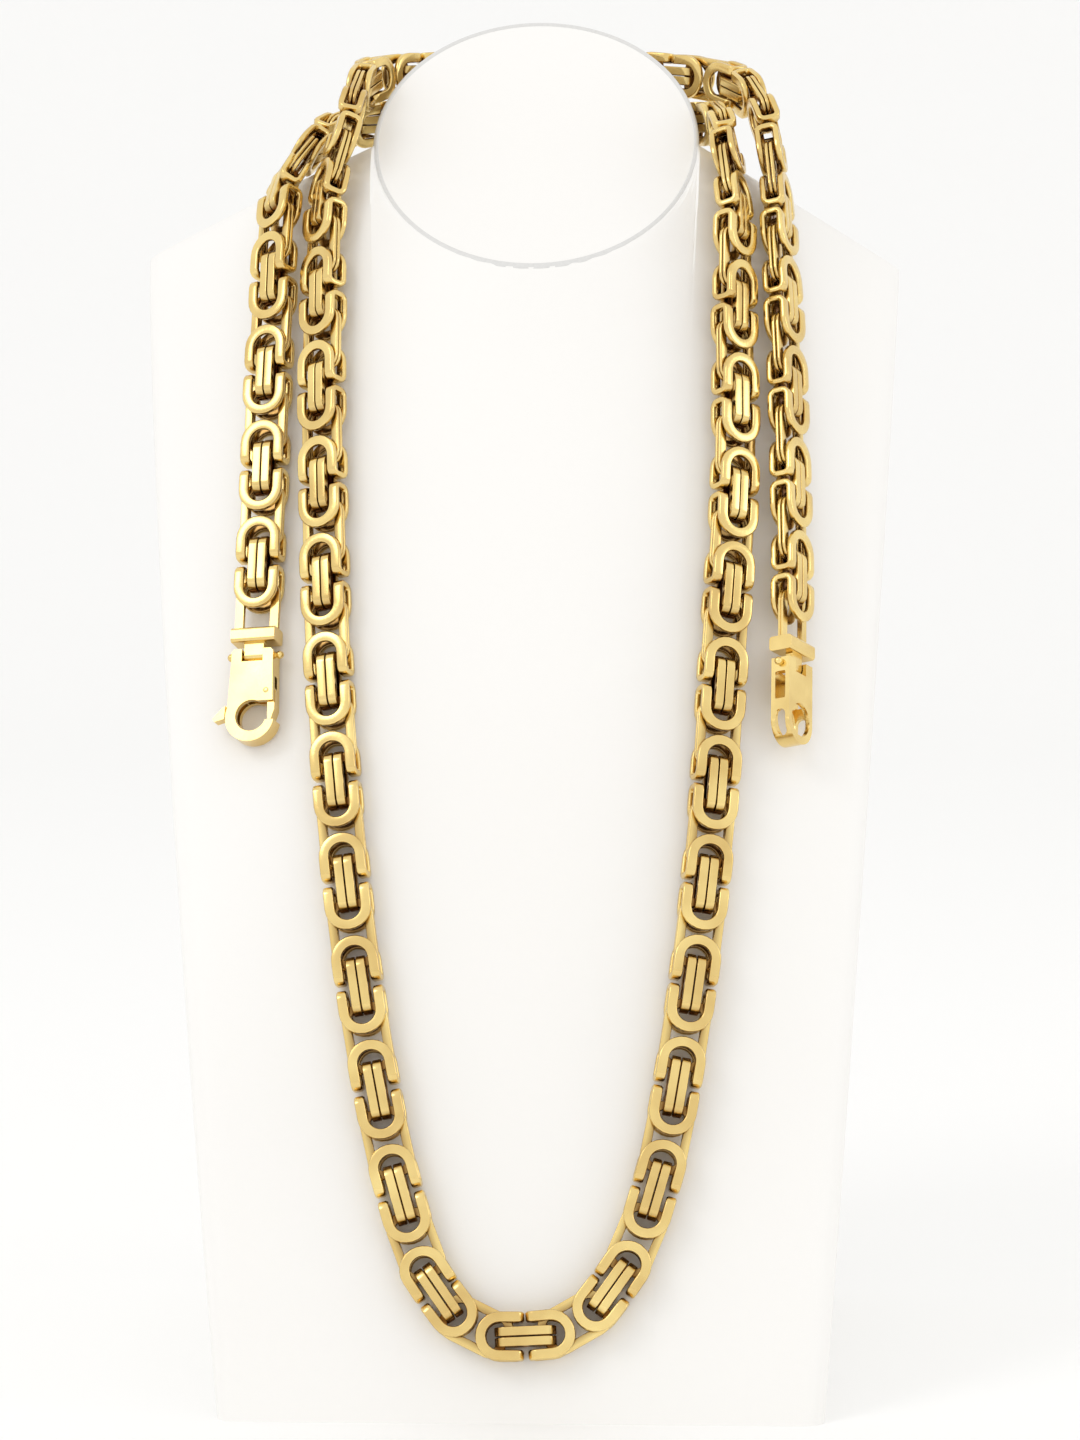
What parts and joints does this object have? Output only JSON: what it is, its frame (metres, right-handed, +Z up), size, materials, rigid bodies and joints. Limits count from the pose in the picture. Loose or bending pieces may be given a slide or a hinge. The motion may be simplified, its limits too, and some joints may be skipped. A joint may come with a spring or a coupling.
{
  "type": "byzantine link chain necklace on a neck bust",
  "caption": "Byzantine link chain with flat-faced wire, lever clasp and hinged eye, draped open over a plain white neck bust.",
  "frame": {"origin": "middle of the bust's flat foot", "axes": "+Z up the neck, -Y towards the front of the bust, +X to the viewer's right"},
  "size_m": [0.141, 0.1151, 0.241],
  "materials": {
    "bust": "satin white leatherette",
    "gold": "polished yellow gold"
  },
  "bodies": {
    "bust": {"bust": "bust", "chain_clasp_half": "gold", "chain_eye_half": "gold", "clasp_connector": "gold", "eye_connector": "gold"},
    "clasp": {"clasp_body": "gold", "clasp_pin": "gold", "lever_pin": "gold"},
    "lever": {"clasp_lever": "gold"},
    "eye": {"eye_body": "gold", "eye_pin": "gold"}
  },
  "joints": [
    {"name": "clasp_hinge", "type": "hinge", "parent": "bust", "child": "clasp", "pos_m": [-0.04727, -0.00898, 0.12408], "axis": [-0.9704, 0.2299, -0.0733], "range_deg": [0, 80]},
    {"name": "lever_pivot", "type": "hinge", "parent": "clasp", "child": "lever", "pos_m": [-0.04463, -0.012, 0.11791], "axis": [0.241, 0.9085, -0.3414], "range_deg": [0, 20]},
    {"name": "eye_hinge", "type": "hinge", "parent": "bust", "child": "eye", "pos_m": [0.04539, -0.01231, 0.12234], "axis": [-0.5404, -0.7819, 0.3107], "range_deg": [0, 80]}
  ]
}
